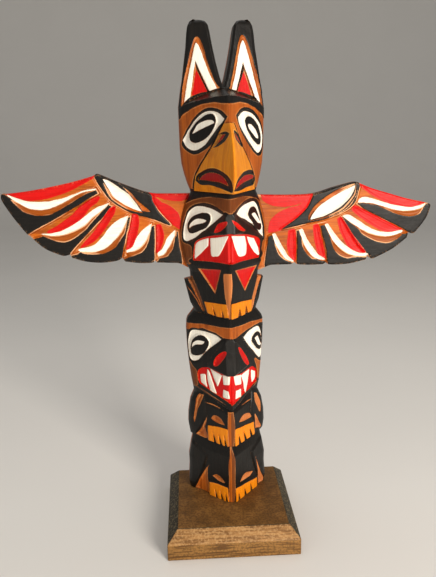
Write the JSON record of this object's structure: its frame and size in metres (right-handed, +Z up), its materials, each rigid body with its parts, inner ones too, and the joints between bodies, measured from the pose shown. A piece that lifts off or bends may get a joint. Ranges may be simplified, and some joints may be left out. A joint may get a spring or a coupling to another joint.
{
  "type": "totem pole",
  "caption": "Small carved and painted wooden totem pole with stacked animal masks, a beaked and eared top figure, spread board wings and a square base.",
  "frame": {"origin": "centre of the base block's underside", "axes": "+Z up the pole, -Y towards the front of the base, +X to the viewer's right; the pole itself is turned 4 degrees about +Z on its base, towards +X"},
  "size_m": [0.2932, 0.089, 0.3447],
  "materials": {
    "pole_paint": "orange-brown stained wood, painted black, white and red, satin",
    "beak_stain": "yellow-orange stained wood, satin",
    "wing_paint": "orange stained board, painted black, white and red, satin",
    "base_stain": "dark brown stained softwood, rubbed edges, satin"
  },
  "bodies": {
    "root": {"base": "base_stain", "pole": "pole_paint", "beak": "beak_stain", "wing_left": "wing_paint", "wing_right": "wing_paint"}
  },
  "joints": []
}
